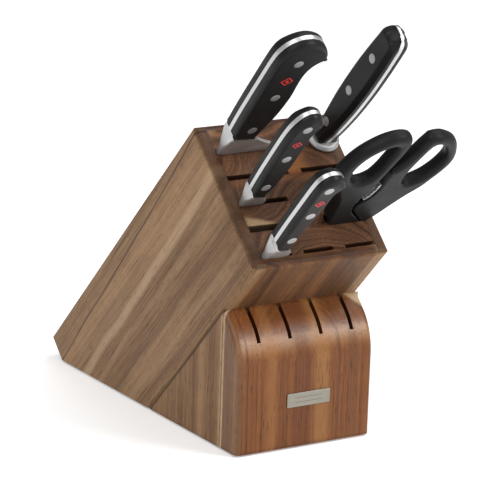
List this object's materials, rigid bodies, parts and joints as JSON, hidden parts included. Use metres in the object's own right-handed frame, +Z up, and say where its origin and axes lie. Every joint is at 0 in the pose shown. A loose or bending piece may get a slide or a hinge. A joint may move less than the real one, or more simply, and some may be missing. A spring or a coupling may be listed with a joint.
{
  "type": "knife block with knives",
  "caption": "Slanted wooden knife block on a curved base, holding forged kitchen knives, a sharpening steel and shears, with empty slots and a small blank nameplate.",
  "frame": {"origin": "middle of the bounding box's underside, on the surface the block stands on", "axes": "+X to the right seen from the front, +Y from the front of the base towards the back, +Z up"},
  "size_m": [0.1294, 0.32, 0.2801],
  "materials": {
    "panel_wood": "oiled, satin",
    "face_wood": "oiled, satin",
    "core_wood": "oiled end grain, satin",
    "base_wood": "oiled, satin",
    "wedge_wood": "oiled, satin",
    "dowel_beech": "raw",
    "rubber": "matt",
    "plate_metal": "brushed",
    "rivet_metal": "satin",
    "handle_plastic": "fine satin",
    "shears_plastic": "fine moulded texture",
    "jaw_steel": "satin",
    "blade_steel": "satin polished"
  },
  "bodies": {
    "block": {"side_panel_left": "panel_wood", "side_panel_right": "panel_wood", "front_panel": "face_wood", "back_panel": "face_wood", "core_board_1": "core_wood", "core_board_2": "core_wood", "core_board_3": "core_wood", "core_board_4": "core_wood", "core_board_5": "core_wood", "base_front_board": "base_wood", "base_rear_wedge": "wedge_wood", "base_dowels": "dowel_beech", "feet": "rubber", "nameplate": "plate_metal", "nameplate_pins": "plate_metal"},
    "chef_knife": {"chef_blade": "blade_steel", "chef_scale_front": "handle_plastic", "chef_scale_rear": "handle_plastic", "chef_rivets": "rivet_metal"},
    "utility_knife": {"utility_blade": "blade_steel", "utility_scale_front": "handle_plastic", "utility_scale_rear": "handle_plastic", "utility_rivets": "rivet_metal"},
    "paring_knife": {"paring_blade": "blade_steel", "paring_scale_front": "handle_plastic", "paring_scale_rear": "handle_plastic", "paring_rivets": "rivet_metal"},
    "sharpening_steel": {"steel_rod": "blade_steel", "steel_guard": "blade_steel", "steel_scale_left": "handle_plastic", "steel_scale_right": "handle_plastic", "steel_rivets": "rivet_metal"},
    "shears_left_half": {"shears_blade_left": "blade_steel", "shears_handle_left": "shears_plastic", "shears_jaw_left": "jaw_steel", "shears_pivot_screw": "blade_steel", "shears_pivot_nut": "blade_steel"},
    "shears_right_half": {"shears_blade_right": "blade_steel", "shears_handle_right": "shears_plastic", "shears_jaw_right": "jaw_steel"}
  },
  "joints": [
    {"name": "chef_knife_draw", "type": "slide", "parent": "block", "child": "chef_knife", "axis": [0, -0.6947, 0.7193], "range_m": [0, 0.24]},
    {"name": "utility_knife_draw", "type": "slide", "parent": "block", "child": "utility_knife", "axis": [0, -0.6947, 0.7193], "range_m": [0, 0.19]},
    {"name": "paring_knife_draw", "type": "slide", "parent": "block", "child": "paring_knife", "axis": [0, -0.6947, 0.7193], "range_m": [0, 0.125]},
    {"name": "sharpening_steel_draw", "type": "slide", "parent": "block", "child": "sharpening_steel", "axis": [0, -0.6947, 0.7193], "range_m": [0, 0.26]},
    {"name": "shears_draw", "type": "slide", "parent": "block", "child": "shears_left_half", "axis": [0, -0.6947, 0.7193], "range_m": [0, 0.3]},
    {"name": "shears_pivot", "type": "hinge", "parent": "shears_left_half", "child": "shears_right_half", "pos_m": [0.0145, -0.05931, 0.12991], "axis": [0, 0.7193, 0.6947], "range_deg": [0, 22]}
  ],
  "couplings": [
    {"joint": "shears_pivot", "follows": "shears_draw", "rad_per_m": 1.2798}
  ]
}
